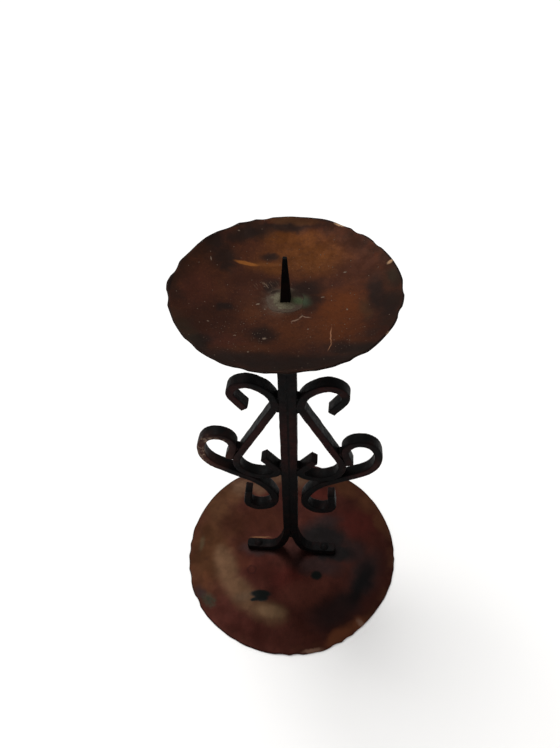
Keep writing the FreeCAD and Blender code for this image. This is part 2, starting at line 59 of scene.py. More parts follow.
def add_piece(name, mesh, nodes):
    """Put a mesh into the scene as a piece that stands for these CAD nodes."""
    piece = bpy.data.objects.new(name, mesh)
    bpy.context.scene.collection.objects.link(piece)
    for polygon in mesh.polygons:
        polygon.use_smooth = True
    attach(piece, "root")
    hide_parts(*nodes)
    return piece


def point(skin, x, y, z):
    return skin.verts.new((x * MM, y * MM, z * MM))


def skin_piece(name, node, skin, rows, first_pole, last_pole):
    """A piece whose skin runs through these rings of points, closed by a point on the axis at each end."""
    for row, after in zip(rows, rows[1:]):
        for k, vertex in enumerate(row):
            n = (k + 1) % len(row)
            skin.faces.new((vertex, after[k], after[n], row[n]))
    for row, height in ((rows[0], first_pole), (rows[-1], last_pole)):
        pole = point(skin, 0, 0, height)
        for k, vertex in enumerate(row):
            skin.faces.new((pole, vertex, row[(k + 1) % len(row)]))
    bmesh.ops.recalc_face_normals(skin, faces=skin.faces)
    mesh = bpy.data.meshes.new(name)
    skin.to_mesh(mesh)
    skin.free()
    return add_piece(name, mesh, [node])


def spokes_round(count):
    """Angles of evenly spaced spokes."""
    return [2 * math.pi * k / count for k in range(count)]


def ease(edge0, edge1, value):
    """A smooth step from 0 at edge0 to 1 at edge1."""
    t = min(max((value - edge0) / (edge1 - edge0), 0.0), 1.0)
    return t * t * (3 - 2 * t)


def wavy(angle, waves, seed):
    """Noise that runs round the axis and meets itself, between about -1 and 1."""
    return noise.noise(Vector((waves * math.cos(angle), waves * math.sin(angle), seed)))


# ---------------------------------------------------------------- shapes: the two copper dishes

# Radii, rise and wall are the CAD's. Then the mesh's fineness, the size and depth of the hammer marks,
# and the rim: how many blows went round it, how far they draw it in and lift it, over what width, and
# its broad bulges, each the angle of its middle, its half width in degrees and how far it stands out.
BASE_SHAPE = SimpleNamespace(
    rim=94.0, flat=44.0, rise=4.5, wall=1.5, domed=True,
    spokes=540, pitch=1.2, seed=11.3, mark_size=15.0, mark_depth=0.2,
    blows=45, notch=0.9, lift=0.3, lift_width=7.0,
    bulges=[(220, 20, 1.9), (318, 18, -1.9)],
)
TRAY_SHAPE = SimpleNamespace(
    rim=65.0, flat=16.0, rise=12.7, wall=1.2, domed=False,
    spokes=480, pitch=1.0, seed=4.6, mark_size=12.0, mark_depth=0.2,
    blows=34, notch=0.95, lift=0.3, lift_width=6.0,
    bulges=[(123, 16, 1.1), (185, 12, 0.8), (335, 14, -0.7)],
)
# how soon a hammer mark reaches its full depth, and how deep marks are in the dish's middle
MARK_STEEPNESS = 2.2
MIDDLE_MARKS = 0.35
# the broad unevenness of the sheet, as a share of the marks' depth
BUCKLE, BUCKLE_SIZE = 0.25, 26.0
# blows on the rim: the force of the weakest, how much more the strongest has, that of an even rim, how
# unevenly they are spaced, and how round and how high the corners between them are
WEAKEST_BLOW, BLOW_RANGE, EVEN_BLOW = 0.35, 1.1, 0.4
BLOW_DRIFT = 1.6
CORNER_ROUNDING, CORNER_HEIGHT = 0.03, 0.17
# the slow waves of the rim, outwards and upwards, beside the blows
OUTWARD_SWELL, UPWARD_SWELL = 0.56, 1.92
NOTCH_WIDTH = 12.0
# half a circle from the upper skin to the lower, and the share of its reach that stays inside the CAD
NOSE_TURNS = [math.radians(turn) for turn in (30, 60, 90, 120, 150)]
NOSE_REACH = 0.999


def dish_arc(dish, r):
    """How far an arc has climbed at radius r after it leaves the flat middle level."""
    if r <= dish.flat:
        return 0.0
    width, climb = dish.rim - dish.flat, dish.rise - dish.wall
    bow = (width ** 2 + climb ** 2) / (2 * climb)
    return bow - math.sqrt(bow ** 2 - (r - dish.flat) ** 2)


def hammered(dish, x, y):
    """Depth from 0 to 1 of shallow round hammer marks that overlap."""
    distances, _ = noise.voronoi(Vector((x / dish.mark_size, y / dish.mark_size, dish.seed)))
    return min(distances[0] ** 2 * MARK_STEEPNESS, 1.0)


def beaten(dish, angle):
    """How far the rim is beaten in: 0 at the corners between two blows, about 1 in the middle of one."""
    drift = BLOW_DRIFT * wavy(angle, 1.7, dish.seed)
    blow, along = divmod(dish.blows * angle / (2 * math.pi) + drift, 1)
    force = WEAKEST_BLOW + BLOW_RANGE * noise.cell(Vector((blow % dish.blows + 0.5, dish.seed, 0)))
    return force * (math.sqrt(math.sin(math.pi * along) ** 2 + CORNER_ROUNDING) - CORNER_HEIGHT)


def beaten_radius(dish, r, angle):
    """Where a point at radius r of the even dish lies, once the rim is beaten in and bulges out."""
    swell = OUTWARD_SWELL * wavy(angle, 2.2, dish.seed + 5)
    drawn = dish.notch * (beaten(dish, angle) - EVEN_BLOW - swell)
    for middle, spread, out in dish.bulges:
        away = (math.degrees(angle) - middle + 180) % 360 - 180
        drawn -= out * math.exp(-((away / spread) ** 2))
    return r - drawn * ease(dish.rim - NOTCH_WIDTH, dish.rim, r)


def upper_height(dish, level, x, y, r, angle):
    """Height of the upper skin of a dish whose flat middle is at this level."""
    bend = -1 if dish.domed else 1
    fullness = MIDDLE_MARKS + (1 - MIDDLE_MARKS) * ease(0.3, 0.9, r / dish.rim)
    marks = hammered(dish, x, y) * fullness
    buckle = BUCKLE * noise.noise(Vector((x / BUCKLE_SIZE, y / BUCKLE_SIZE, dish.seed + 7)))
    swell = UPWARD_SWELL * wavy(angle, 1.4, dish.seed + 3)
    near_rim = ease(dish.rim - dish.lift_width, dish.rim, r)
    lift = dish.lift * near_rim * (beaten(dish, angle) - EVEN_BLOW + swell)
    return level + bend * (dish_arc(dish, r) - lift) + dish.mark_depth * (buckle - marks)


def copper_dish(name, node, dish):
    """A dish of hammered sheet: one closed skin with a rounded edge."""
    low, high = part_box(node)
    level = high.z / MM if dish.domed else low.z / MM + dish.wall
    # the foot's underside doesn't go below the ground
    lowest = dish.wall if dish.domed else 0.0
    ring_count = int(dish.rim / dish.pitch)
    radii = [dish.rim * i / ring_count for i in range(1, ring_count)]
    spokes = spokes_round(dish.spokes)
    skin = bmesh.new()
    upper, lower, nose = [], [], []
    for r in radii:
        tops, bottoms = [], []
        for angle in spokes:
            reach = beaten_radius(dish, r, angle)
            x, y = reach * math.cos(angle), reach * math.sin(angle)
            z = max(upper_height(dish, level, x, y, r, angle), lowest)
            tops.append(point(skin, x, y, z))
            bottoms.append(point(skin, x, y, z - dish.wall))
        upper.append(tops)
        lower.append(bottoms)
    for turn in NOSE_TURNS:
        out = (dish.rim - radii[-1]) * math.sin(turn) * NOSE_REACH
        drop = dish.wall / 2 * (1 - math.cos(turn))
        nose.append([
            skin.verts.new(vertex.co + Vector((out * math.cos(angle), out * math.sin(angle), -drop)) * MM)
            for vertex, angle in zip(upper[-1], spokes)
        ])
    middle = upper_height(dish, level, 0, 0, 0, 0)
    rows = upper + nose + lower[::-1]
    return skin_piece(name, node, skin, rows, middle, middle - dish.wall)


# ---------------------------------------------------------------- shapes: forged iron and solder

# How a CAD solid is made rough: the size of the cells that it is rebuilt from, the rounds of smoothing,
# the depth and size of the dents, and the depth of the scale on the surface.
Forging = namedtuple("Forging", "voxel rounds dent dent_size grain")
BAR = Forging(0.5, 7, 0.22, 7.0, 0.035)
FITTING = Forging(0.25, 5, 0.1, 5.0, 0.02)
WELD_BEAD = Forging(0.22, 3, 0.3, 1.7, 0.05)
BRAZE_BEAD = Forging(0.2, 3, 0.2, 1.7, 0.05)
GRAIN_SIZE = 1.9
# what the smoothing takes off each face, put back on
SPREAD = 0.13

# the crust's reach from the axis and how uneven that is, its height in the middle and at its edge, how
# deep it goes into the tray, and its lumps: the height and size of each kind and its level in the noise
CRUST_REACH, CRUST_UNEVEN = 10.4, 1.3
CRUST_HEIGHT, CRUST_EDGE, CRUST_DEPTH = 1.45, 0.05, 0.25
CRUST_LUMPS = ((0.336, 2.3, 1.4), (0.16, 1.0, 8.0))


def forged(name, node, forging):
    """A CAD solid as the smith left it: edges eased by smoothing, faces uneven from the hammer."""
    rough = bpy.data.objects.new(name + "_rough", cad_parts[node].data.copy())
    bpy.context.scene.collection.objects.link(rough)
    solid = bmesh.new()
    solid.from_mesh(rough.data)
    bmesh.ops.remove_doubles(solid, verts=solid.verts, dist=1e-6)
    solid.to_mesh(rough.data)
    solid.free()
    remesh = rough.modifiers.new("even", "REMESH")
    remesh.mode = "VOXEL"
    remesh.voxel_size = forging.voxel * MM
    soften = rough.modifiers.new("soften", "SMOOTH")
    soften.factor = 0.5
    soften.iterations = forging.rounds
    mesh = bpy.data.meshes.new_from_object(rough.evaluated_get(bpy.context.evaluated_depsgraph_get()))
    mesh.name = name
    mesh.materials.clear()
    bpy.data.objects.remove(rough)
    normals = [vertex.normal.copy() for vertex in mesh.vertices]
    for vertex, normal in zip(mesh.vertices, normals):
        place = vertex.co / MM
        dents = forging.dent * noise.noise(place / forging.dent_size)
        scale = forging.grain * noise.noise(place / GRAIN_SIZE + Vector((31, 7, 3)))
        vertex.co += normal * (SPREAD + dents + scale) * MM
    return add_piece(name, mesh, [node])


def solder_crust():
    """The lumpy mound of solder and green salts round the pricket's root, thin at its uneven edge."""
    low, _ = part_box("solder_ring")
    floor = low.z / MM
    foot = floor - CRUST_DEPTH
    rings = 22
    spokes = spokes_round(96)

    def crown(x, y, out):
        """Height at this place, which lies this share of the way out to the edge."""
        lumps = sum(
            tall * noise.noise(Vector((x / size, y / size, level))) for tall, size, level in CRUST_LUMPS
        )
        return floor + CRUST_EDGE + CRUST_HEIGHT * (1 - out) ** 1.1 + lumps * (1 - out ** 2)

    skin = bmesh.new()
    rows = []
    for out in [i / rings for i in range(1, rings + 1)]:
        row = []
        for angle in spokes:
            r = (CRUST_REACH + CRUST_UNEVEN * wavy(angle, 2.4, 5.1)) * out
            x, y = r * math.cos(angle), r * math.sin(angle)
            row.append(point(skin, x, y, crown(x, y, out)))
        rows.append(row)
    rows.append([point(skin, vertex.co.x / MM, vertex.co.y / MM, foot) for vertex in rows[-1]])
    return skin_piece("solder_crust", "solder_ring", skin, rows, crown(0, 0, 0), foot)


# ---------------------------------------------------------------- materials: helpers

class Finish:
    """A procedural material, with short calls for the nodes that it is made of.

    Places in the calls are in millimetres in the frame, and a size is that of one feature.
    """

    def __init__(self, name):
        self.material = bpy.data.materials.new(name)
        self.material.use_nodes = True
        self.tree = self.material.node_tree
        self.surface = self.tree.nodes["Principled BSDF"]
        metres = self.add("ShaderNodeTexCoord").outputs["Object"]
        self.place = self.vector("SCALE", metres, 1 / MM)

    def add(self, kind, **settings):
        node = self.tree.nodes.new(kind)
        for name, value in settings.items():
            setattr(node, name, value)
        return node

    def put(self, socket, value):
        if isinstance(value, bpy.types.NodeSocket):
            self.tree.links.new(value, socket)
        else:
            socket.default_value = value

    def feed(self, node, **values):
        """Give sockets, named with _ for a space, their values or links."""
        for name, value in values.items():
            self.put(node.inputs[name.replace("_", " ")], value)

    def vector(self, operation, first, second):
        node = self.add("ShaderNodeVectorMath", operation=operation)
        self.put(node.inputs[0], first)
        self.put(node.inputs["Scale" if operation == "SCALE" else 1], second)
        return node.outputs[0]

    def length(self, vector):
        node = self.add("ShaderNodeVectorMath", operation="LENGTH")
        self.put(node.inputs[0], vector)
        return node.outputs["Value"]

    def math(self, operation, first, second=0.0):
        node = self.add("ShaderNodeMath", operation=operation)
        self.put(node.inputs[0], first)
        self.put(node.inputs[1], second)
        return node.outputs[0]

    def both(self, first, second):
        """A mask where two masks meet, or one mask weakened by a number."""
        return self.math("MULTIPLY", first, second)

    def either(self, first, second):
        """A mask where either of two masks is."""
        return self.math("MAXIMUM", first, second)

    def mix(self, factor, first, second):
        node = self.add("ShaderNodeMix", data_type="RGBA")
        self.feed(node, Factor=factor, A=first, B=second)
        return node.outputs["Result"]

    def ramp(self, value, low, high, to_low=0.0, to_high=1.0):
        """value from low to high, made to run smoothly from to_low to to_high."""
        node = self.add("ShaderNodeMapRange", interpolation_type="SMOOTHSTEP")
        self.feed(node, Value=value, From_Min=low, From_Max=high, To_Min=to_low, To_Max=to_high)
        return node.outputs["Result"]

    def noise(self, size, detail=3.0, roughness=0.55, distortion=0.0, shift=0.0, place=None):
        """Cloudy noise about 0.5, from 0 to 1."""
        moved = self.vector("ADD", place or self.place, (shift, 1.7 * shift, 0.6 * shift))
        node = self.add("ShaderNodeTexNoise")
        self.feed(node, Vector=moved, Scale=1 / size)
        self.feed(node, Detail=detail, Roughness=roughness, Distortion=distortion)
        return node.outputs["Fac"]

    def wander(self, size, amount, shift=0.0):
        """The place moved about by noise, for outlines that aren't clean."""
        node = self.add("ShaderNodeTexNoise")
        moved = self.vector("ADD", self.place, (shift, shift, shift))
        self.feed(node, Vector=moved, Scale=1 / size, Detail=2.0)
        centred = self.vector("SUBTRACT", node.outputs["Color"], (0.5, 0.5, 0.5))
        return self.vector("ADD", self.place, self.vector("SCALE", centred, amount))

    def turned(self, place, at, half, turn):
        """The place measured from here, along turned axes, with these half widths as its units."""
        node = self.add("ShaderNodeMapping", vector_type="TEXTURE")
        self.feed(node, Vector=place, Location=at, Rotation=(0, 0, math.radians(turn)), Scale=half)
        return node.outputs["Vector"]

    def patch(self, at, half, turn=0.0, soft=0.5, place=None):
        """A mask of 1 inside an ellipsoid here, or an elliptical column, fading out round its edge."""
        away = self.turned(place or self.place, (*at, 0)[:3], (*half, 1e6)[:3], turn)
        return self.ramp(self.length(away), 1 - soft, 1 + soft, 1.0, 0.0)

    def blotches(self, spots, soft=0.7, place=None):
        """One mask for several patches, each its middle, its half widths and its turn."""
        masks = [self.patch(at, half, turn, soft, place) for at, half, turn in spots]
        joined = masks[0]
        for mask in masks[1:]:
            joined = self.either(joined, mask)
        return joined

    def radius(self, place=None):
        """Level distance from the axis of the place, or of the surface."""
        return self.length(self.vector("MULTIPLY", place or self.place, (1, 1, 0)))

    def ring(self, at, radius, half, soft=0.6, place=None):
        """A mask of 1 along a level circle about this point, fading out on both sides of it."""
        away = self.vector("SUBTRACT", place or self.place, (*at, 0))
        off = self.math("ABSOLUTE", self.math("SUBTRACT", self.radius(away), radius))
        return self.ramp(off, half * (1 - soft), half * (1 + soft), 1.0, 0.0)

    def facing(self, direction, low, high):
        """A mask of 1 where the surface faces this way."""
        node = self.add("ShaderNodeVectorMath", operation="DOT_PRODUCT")
        self.put(node.inputs[0], self.add("ShaderNodeNewGeometry").outputs["Normal"])
        self.put(node.inputs[1], direction)
        return self.ramp(node.outputs["Value"], low, high)

    def strokes(self, length, width, turn, shift=0.0):
        """Noise drawn out along one direction in the level plane, for fine scratches."""
        along = self.turned(self.place, (0, 0, 0), (length, width, width), turn)
        return self.noise(1.0, 2.0, 0.5, 0.0, shift, along)

    def flecks(self, cell, radius, share):
        """Tiny round spots, in a share of the cells of a random grid."""
        node = self.add("ShaderNodeTexVoronoi")
        self.feed(node, Vector=self.place, Scale=1 / cell)
        near = self.ramp(node.outputs["Distance"], radius / cell * 0.6, radius / cell, 1.0, 0.0)
        split = self.add("ShaderNodeSeparateColor")
        self.put(split.inputs[0], node.outputs["Color"])
        return self.both(near, self.math("GREATER_THAN", split.outputs[0], 1 - share))

    def paint(self, colour, layers):
        """Lay colours over one another, each through its mask, weakened by a number or a second mask."""
        for mask, strength, layer in layers:
            colour = self.mix(self.both(mask, strength), colour, rgb(*layer))
        return colour

    def bump(self, *layers):
        """Bumps laid over one another, each a height and its depth in millimetres."""
        normal = None
        for value, depth in layers:
            node = self.add("ShaderNodeBump")
            self.feed(node, Height=value, Strength=1.0, Distance=depth * MM)
            if normal is not None:
                self.feed(node, Normal=normal)
            normal = node.outputs["Normal"]
        self.feed(self.surface, Normal=normal)

    def uneven(self, size, low, high):
        """A value that drifts between these two, for roughness."""
        return self.ramp(self.noise(size, 4.0, 0.6, 0.0, 70), 0.3, 0.7, low, high)

    def finish(self, **values):
        self.feed(self.surface, **values)
        return self.material


def rgb(red, green, blue):
    return (red, green, blue, 1.0)


# ---------------------------------------------------------------- materials: the object's finishes

def tray_copper():
    """Aged copper of the tray: brown to orange, blackened in places, with wax flecks and scratches, and with
    painted light: shade along the front rim, a paler back rim, a reflected line across the back left and
    highlights on the rim.
    """
    f = Finish("tray_copper")
    loose = f.wander(9.0, 9.0)
    ragged = f.wander(1.6, 1.3, 5)
    r = f.radius()
    clouds = f.noise(20.0, 5.0, 0.62, 0.4)
    fine = f.noise(3.2, 5.0, 0.65, 0.3, 40)
    grain = f.noise(1.1, 4.0, 0.7, 0.5, 77)
    colour = f.mix(f.ramp(clouds, 0.34, 0.66), rgb(0.030, 0.0105, 0.0068), rgb(0.045, 0.0148, 0.0074))

    warm = f.blotches([((10, 37), (25, 15), -5), ((0, 50), (20, 6), 0), ((-12, 27), (13, 6), 0)], 0.6, loose)
    glow = f.blotches([((32, -5), (12, 14), 0), ((28, -22), (13, 12), 0)], 0.6, loose)
    front = f.blotches([
        ((9, -27), (16, 11), 0), ((-16, -42), (11, 5), 0), ((-19, -12), (6, 6), 0),
    ], 0.6, loose)
    left = f.blotches([((-51, 2), (9, 15), 0), ((-30, -38), (12, 6), 0)], 0.6, loose)
    colour = f.paint(colour, [
        (warm, 0.9, (0.058, 0.0190, 0.0052)),
        (glow, 0.9, (0.069, 0.0190, 0.0060)),
        (front, 0.8, (0.057, 0.0182, 0.0078)),
        (left, 0.8, (0.050, 0.0150, 0.0092)),
        (f.ramp(fine, 0.46, 0.75), 0.45, (0.022, 0.0095, 0.0065)),
        (f.ramp(grain, 0.52, 0.72), 0.40, (0.098, 0.0360, 0.0150)),
        (f.ramp(grain, 0.30, 0.46, 1.0, 0.0), 0.35, (0.022, 0.0085, 0.0055)),
    ])

    # blackened places, first the weak ones; the wide band along the front rim is painted shade on the rim's
    # inner slope
    dim = f.blotches([
        ((42, 26), (14, 10), 10), ((38, 45), (13, 9), -40), ((-24, 17), (12, 6), 10),
        ((-34, -12), (13, 10), 25), ((52, -30), (7, 10), -30), ((-46, -30), (9, 10), 35),
        ((-12, 2), (6, 9), 0),
    ], 0.7, loose)
    blackened_and_front_rim_shade = f.blotches([
        ((-40, 32), (8, 10), 0), ((-37, 24), (4, 5), 0), ((-46, 41), (6, 7), 45),
        ((-25, 51), (15, 5.0), 22), ((-6, 57.5), (22, 3.0), 4), ((-12, 36), (4.5, 2.8), 0),
        ((-33, -9), (4.5, 3), 25), ((-10, -29), (7.5, 6.5), 0), ((11, 10), (10, 6.5), 15),
        ((15, 1), (5.5, 8), 5), ((-9, 12), (5, 5), 0), ((51, 2), (5.5, 17), 5),
        ((57, -9), (7, 12), 0), ((60, 14), (5, 9), 10), ((33, -42), (9, 6), -30),
        # painted shade: the wide band along the front rim
        ((4, -54.5), (46, 8.5), 0), ((44, -45), (9, 5), -42), ((-43, -45), (9, 6), 40),
    ], 0.6, loose)
    near_edge = f.both(f.ramp(r, 51.0, 64.0), f.ramp(f.noise(12.0, 3.0, shift=13), 0.38, 0.6))
    olive = f.blotches([
        ((60, 14), (4, 7), 10), ((-50, -36), (5, 13), 38), ((44.5, -10), (2.5, 9), 5),
    ], 0.8, loose)
    # painted light: a paler strip on the inner slope of the back rim
    painted_back_rim_light = f.patch((0, 62.5), (15, 2.5), 0, 0.7, loose)
    colour = f.paint(colour, [
        (dim, 0.6, (0.021, 0.0078, 0.0052)),
        (blackened_and_front_rim_shade, f.ramp(clouds, 0.28, 0.62, 0.97, 0.85), (0.0120, 0.0074, 0.0062)),
        (near_edge, 0.6, (0.015, 0.0090, 0.0065)),
        (olive, 0.35, (0.030, 0.0220, 0.0120)),
        (painted_back_rim_light, 0.8, (0.046, 0.0200, 0.0090)),
        (f.ramp(r, 63.4, 64.6), 0.85, (0.010, 0.0060, 0.0050)),
    ])

    # scratches that bare the metal, what candles and salts have left, and a painted reflection of a window
    # frame as a pale line across the back left
    # painted reflection: a pale orange line across the back left, fading out to the right
    painted_reflection_line = f.patch((-25.8, 28.8), (6.6, 1.35), -5, 0.35, f.wander(4.0, 1.2, 3))
    painted_reflection_tail = f.patch((-12, 29.6), (9, 1.3), 4, 0.6, ragged)
    scratch = f.blotches([
        ((26.2, -29.5), (0.34, 6.6), 2), ((26.0, -39), (0.25, 3.4), -14),
    ], 0.4, f.wander(6.0, 2.2, 7))
    squiggle = f.blotches([
        ((6.6, -16.0), (2.4, 0.42), 28), ((9.6, -13.2), (1.6, 0.45), 46), ((12.4, -13.0), (2.3, 0.35), -10),
    ], 0.5, ragged)
    rubbed_and_sheen = f.both(
        f.patch((10, 31), (19, 10), 10, 0.8, loose),
        f.ramp(f.noise(1.5, 4.0, 0.7, 1.4, 21), 0.55, 0.72),
    )
    brushed = f.both(
        f.patch((-12.5, 12.5), (6.5, 3.2), 8, 0.6),
        f.ramp(f.strokes(7.0, 0.7, 118, 2), 0.54, 0.66),
    )
    haze = f.both(
        f.patch((-3, -3), (15, 13), 0, 0.7, loose),
        f.ramp(f.noise(0.9, 5.0, 0.7, 0.8, 60), 0.48, 0.75),
    )
    round_crust = f.wander(5.0, 3.0, 23)
    salts = f.both(
        f.patch((-2.6, -1.0), (7.5, 8.5), 0, 0.75, round_crust),
        f.ramp(fine, 0.36, 0.60, 0.45, 1.0),
    )
    green_salts = f.patch((8.0, -0.5), (5.0, 4.5), 0, 0.8, round_crust)
    # painted highlights: three small pale glints near the top of the rim
    painted_rim_glints = f.both(f.ramp(r, 60.6, 62.0), f.blotches([
        ((28.5, 57.8), (3.2, 0.9), -25), ((58.6, 24.8), (2.4, 0.9), 28), ((55.5, -34), (0.8, 2.0), -30),
    ], 0.5, ragged))
    drops = f.blotches([
        ((-15.3, -4.0), (1.1, 0.6), 20), ((-11.0, -8.0), (0.6, 0.4), 0), ((21, 3.8), (1.0, 0.4), 15),
        ((34.6, -7.3), (0.4, 0.8), 0), ((-8.8, -32.4), (1.0, 0.7), 20), ((-46.2, 27), (0.4, 1.3), 15),
        ((32.9, 23.2), (0.9, 0.5), 0), ((-32.4, 51.5), (0.6, 0.4), 0), ((-24.5, -32.2), (0.6, 0.4), 0),
        ((-15.8, -45.8), (0.6, 0.4), 0), ((13.9, -23), (0.6, 0.4), 30), ((-40.2, -23.8), (0.6, 0.4), 0),
    ], 0.5, f.wander(0.9, 1.1, 5))
    spattered = f.blotches([
        ((-13, -6), (17, 13), 0), ((-22, -32), (16, 14), 0), ((30, -30), (15, 12), 0),
    ], 0.8)
    spatter = f.either(f.both(f.flecks(2.6, 0.42, 0.22), 0.8), f.both(f.flecks(1.4, 0.34, 0.30), spattered))
    wax = f.either(spatter, drops)
    colour = f.paint(colour, [
        (painted_reflection_tail, 0.5, (0.095, 0.0330, 0.0100)),
        (painted_reflection_line, 0.9, (0.160, 0.0560, 0.0130)),
        (rubbed_and_sheen, 0.5, (0.120, 0.0560, 0.0270)),
        (haze, 0.55, (0.075, 0.0500, 0.0310)),
        (brushed, 0.6, (0.130, 0.0850, 0.0550)),
        (salts, 0.75, (0.100, 0.0860, 0.0650)),
        (green_salts, 0.7, (0.038, 0.0620, 0.0360)),
        (scratch, 0.85, (0.250, 0.1150, 0.0600)),
        (squiggle, 0.8, (0.160, 0.1000, 0.0700)),
        (wax, 0.8, (0.150, 0.1080, 0.0800)),
        (painted_rim_glints, 0.9, (0.230, 0.1400, 0.0800)),
    ])
    matte = f.either(wax, f.both(squiggle, 0.7))
    f.bump((f.noise(3.2, 5.0, 0.6, 0.2, 15), 0.10), (f.noise(0.7, 3.0, 0.6, 0.0, 30), 0.03), (matte, 0.2))
    return f.finish(
        Base_Color=colour,
        Metallic=f.ramp(matte, 0.0, 1.0, 0.6, 0.1),
        Roughness=f.uneven(8.0, 0.42, 0.58),
        Specular_IOR_Level=0.01,
    )


def base_copper():
    """Glossier aged copper of the foot: red-brown, with painted shade on its right and round the feet, a
    painted highlight on its left shoulder, and green at the rim.
    """
    f = Finish("base_copper")
    loose = f.wander(12.0, 10.0)
    tight = f.wander(3.0, 3.0, 17)
    r = f.radius()
    clouds = f.noise(26.0, 5.0, 0.6, 0.4, 11)
    fine = f.noise(5.0, 5.0, 0.65, 0.3, 52)
    colour = f.mix(f.ramp(clouds, 0.36, 0.66), rgb(0.021, 0.0062, 0.0048), rgb(0.031, 0.0092, 0.0066))

    left = f.blotches([((-76, -8), (22, 42), 0), ((-60, 20), (14, 16), 0)], 0.6, loose)
    back_left = f.blotches([((-75, 42), (13, 22), 15), ((-62, 54), (13, 14), 0)], 0.6, loose)
    behind_foot = f.patch((-30, 27), (24, 15), 0, 0.5, loose)
    inner_left = f.blotches([((-47, 6), (9, 16), 0), ((-60, 22), (11, 13), 0)], 0.6, loose)
    back_pale = f.blotches([
        ((-55, 64), (10, 10), 0), ((-20, 76), (8, 10), 0), ((5, 73), (7, 9), 0), ((-36, 62), (9, 7), 0),
    ], 0.6, loose)
    inner = f.patch((-30, -20), (18, 14), 0, 0.6, loose)
    red = f.blotches([((0, -31), (15, 12), 0), ((62, 30), (18, 15), 0), ((22, 60), (12, 8), 0)], 0.6, loose)
    front = f.blotches([((12, -43), (16, 10), 0), ((27, -38), (11, 7), 0)], 0.6, loose)
    back_right = f.blotches([
        ((72, 54), (12, 12), -45), ((50, 68), (16, 9), -30), ((83, 34), (6, 14), 15),
    ], 0.6, loose)
    low_left = f.blotches([((-36, -74), (30, 10), -22), ((-64, -61), (8, 12), 45)], 0.6, loose)
    # a band round the dome's shoulder, on the left and front, that is glossier and is also painted paler as
    # a highlight, with a stronger painted highlight at its front
    gloss_and_painted_highlight = f.both(
        f.ring((0, 0), 61.0, 10.0, 0.6, f.wander(10.0, 5.0, 23)),
        f.blotches([
            ((-66, -24), (22, 20), 0), ((-46, -48), (20, 18), 0), ((-18, -63), (18, 14), 0),
        ], 0.3, loose),
    )
    # painted highlight: a paler spot at the front of the band
    painted_highlight_spot = f.both(f.patch((-14, -60), (11, 5), -5, 0.6, f.wander(6.0, 4.0, 29)), gloss_and_painted_highlight)
    colour = f.paint(colour, [
        (left, 0.9, (0.0205, 0.0084, 0.0036)),
        (back_left, 0.85, (0.033, 0.0145, 0.0068)),
        (behind_foot, 0.8, (0.0185, 0.0056, 0.0031)),
        (inner_left, 0.8, (0.0145, 0.0045, 0.0027)),
        (back_pale, 0.8, (0.060, 0.0330, 0.0200)),
        (inner, 0.8, (0.020, 0.0052, 0.0038)),
        (red, 0.8, (0.037, 0.0078, 0.0060)),
        (front, 0.8, (0.052, 0.0155, 0.0108)),
        (back_right, 0.85, (0.050, 0.0190, 0.0095)),
        (low_left, 0.85, (0.0165, 0.0043, 0.0032)),
        (f.ramp(fine, 0.48, 0.75), 0.3, (0.013, 0.0052, 0.0040)),
        (gloss_and_painted_highlight, 0.95, (0.041, 0.0205, 0.0100)),
        (painted_highlight_spot, 0.8, (0.078, 0.0450, 0.0235)),
    ])

    # painted shade in a curved band on the right of the dome, away from the light, and painted shadow round
    # the right foot, beside the stem and under the left foot
    arc = f.both(
        f.ring((0, 0), 70.0, 13.0, 0.7, loose),
        f.blotches([((74, -22), (26, 24), 0), ((46, -56), (26, 20), 0)], 0.5, loose),
    )
    arc_core = f.both(
        f.ring((0, 0), 71.0, 6.5, 0.8, loose),
        f.patch((66, -30), (24, 20), 0, 0.6, loose),
    )
    painted_shade = f.either(arc, f.blotches([
        ((26, -16), (22, 9), 0), ((58, -2), (12, 12), 0), ((30, 28), (14, 7), 20), ((-30, -3), (15, 6), 0),
        ((-78, -47), (6, 3.5), -38),
    ], 0.6, loose))
    # painted shade between the feet, under the stem's fork
    painted_shade_between_feet = f.patch((0, -2), (13, 9), 0, 0.6, loose)
    # painted shadow: the deepest shade round the right foot
    painted_deep_shade = f.either(arc_core, f.blotches([
        ((28, 11), (24, 15), 0), ((38, -2), (18, 9), 0),
    ], 0.4, f.wander(9.0, 8.0, 37)))
    blots = f.blotches([
        ((-23.6, -45.4), (8.6, 3.3), 2), ((-23, -48.8), (6.2, 3.2), 0), ((-28.5, -50.6), (3.8, 1.6), 14),
        ((24.2, -25.2), (4.8, 4.0), 0),
    ], 0.3, f.wander(2.0, 1.4, 17))
    smear = f.patch((-38, -49), (8, 4), 15, 0.8, tight)
    cup_mark = f.ring((-34, -24), 3.6, 0.9, 0.7, f.wander(3.0, 1.2, 41))
    # painted highlight: a thin pale line on the dome just behind the left foot
    painted_highlight_behind_foot = f.patch((-29, 8.4), (9, 0.6), 4, 0.5, f.wander(6.0, 1.2, 43))
    crystals = f.ramp(f.noise(2.4, 4.0, 0.65, 0.3, 5), 0.2, 0.75)
    verdigris = f.both(f.patch((-68.5, -53.5), (4.4, 6.0), 50, 0.7, tight), crystals)
    faint_green = f.patch((-83.5, -1), (2.0, 6.5), 0, 0.7, tight)
    # the rim is worn brighter all round, and most of all on the right
    on_right = f.patch((70, -30), (80, 80), 0, 0.3)
    rim_glow = f.both(f.ramp(r, 85.0, 92.5), f.ramp(f.noise(16.0, 3.0, 0.6, 0.0, 33), 0.40, 0.60))
    orange = f.blotches([
        ((48, -75), (15, 5), 36), ((62, -65), (9, 5), 45), ((-74, -34), (4, 6), 0), ((-43, -17), (6, 6), 0),
    ], 0.6, loose)
